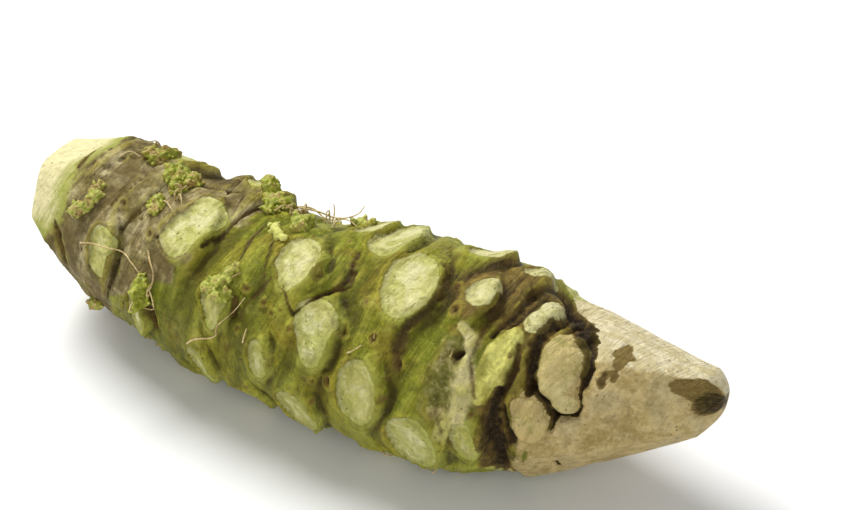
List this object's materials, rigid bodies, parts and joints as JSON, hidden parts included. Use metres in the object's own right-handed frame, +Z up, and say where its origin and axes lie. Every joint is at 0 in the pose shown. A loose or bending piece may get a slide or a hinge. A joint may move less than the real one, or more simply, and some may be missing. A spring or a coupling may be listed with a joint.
{
  "type": "wasabi root",
  "caption": "Knobbly rhizome lying on its belly, with leaf scars, small side buds and knife-pared ends: a blunt foot and a long cone.",
  "frame": {"origin": "centre of the box of the whole root, on the surface that it rests on", "axes": "+X along the root from the blunt foot to the pared crown cone, +Y to the side that the bend is hollow on, +Z up"},
  "size_m": [0.15, 0.049, 0.0434],
  "materials": {
    "root_skin": "satin",
    "bud_green": "satin",
    "bud_brown": "matte"
  },
  "bodies": {
    "root": {"rhizome": "root_skin", "foot_bud": "bud_green", "ridge_bud": "bud_green", "mossy_bud": "bud_green", "pale_bud": "bud_green", "axil_bud": "bud_green", "scar_bud": "bud_brown", "green_bud": "bud_green", "round_bud": "bud_green", "horn_bud": "bud_green", "far_bud": "bud_green", "low_bud": "bud_green", "back_bud": "bud_green", "back_foot_bud": "bud_brown"}
  },
  "joints": []
}
